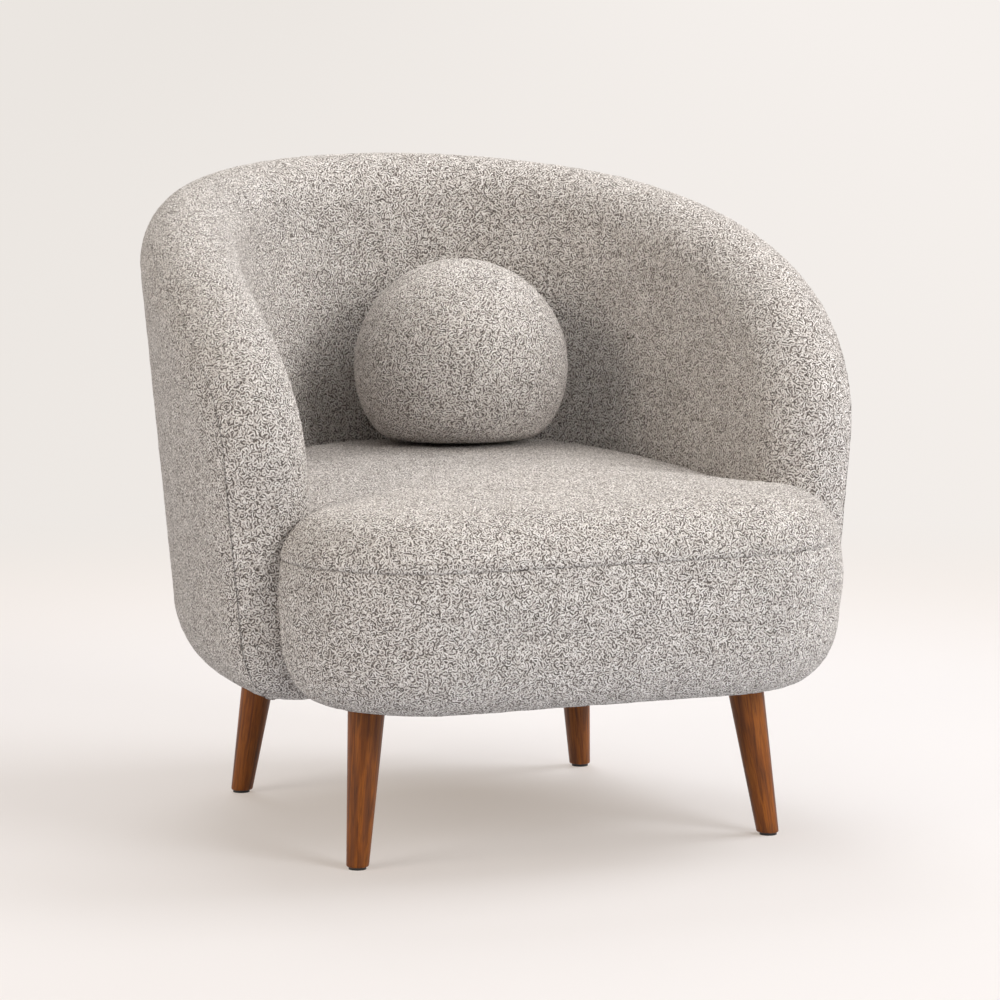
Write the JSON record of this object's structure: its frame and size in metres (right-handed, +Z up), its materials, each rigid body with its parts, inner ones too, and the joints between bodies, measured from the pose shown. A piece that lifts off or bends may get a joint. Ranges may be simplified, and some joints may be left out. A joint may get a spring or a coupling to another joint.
{
  "type": "tub chair",
  "caption": "Tub chair in pale looped fabric with a wrap-round padded wall, a deep upholstered seat, four splayed tapered wooden legs and a loose ball cushion.",
  "frame": {"origin": "on the floor under the middle of the chair's box, at its bottom", "axes": "+Z up, the chair faces -Y, +X to the right in a view from the front"},
  "size_m": [0.8094, 0.8507, 0.7557],
  "materials": {
    "boucle_fabric": "looped",
    "foam": "open-cell foam",
    "walnut_stained_wood": "satin",
    "plywood": "raw",
    "spring_steel": "drawn wire",
    "zinc_steel": "zinc plated",
    "felt": "matte",
    "dust_cloth": "matte",
    "glide_plastic": "matte",
    "cushion_filling": "fibre"
  },
  "bodies": {
    "chair": {"outside_back_cover": "boucle_fabric", "inside_back_cover": "boucle_fabric", "left_arm_cover": "boucle_fabric", "right_arm_cover": "boucle_fabric", "back_foam": "foam", "left_arm_foam": "foam", "right_arm_foam": "foam", "tub_panel": "plywood", "tub_panel_screws": "zinc_steel", "seat_top_cover": "boucle_fabric", "seat_front_cover": "boucle_fabric", "seat_foam": "foam", "spring_felt": "felt", "seat_springs": "spring_steel", "spring_clips": "zinc_steel", "front_rail": "plywood", "side_rails": "plywood", "rear_rail": "plywood", "corner_blocks": "plywood", "rail_screws": "zinc_steel", "base_panel": "plywood", "dust_cover": "dust_cloth", "dust_cover_tacks": "zinc_steel", "leg_t_nuts": "zinc_steel", "leg_bolts": "zinc_steel", "front_left_leg": "walnut_stained_wood", "front_right_leg": "walnut_stained_wood", "rear_left_leg": "walnut_stained_wood", "rear_right_leg": "walnut_stained_wood", "foot_glides": "glide_plastic"},
    "ball": {"ball_cover": "boucle_fabric", "ball_filling": "cushion_filling"}
  },
  "joints": [
    {"name": "cushion_lift", "type": "slide", "parent": "chair", "child": "ball", "axis": [0, 0, 1], "range_m": [0, 0.5]}
  ]
}
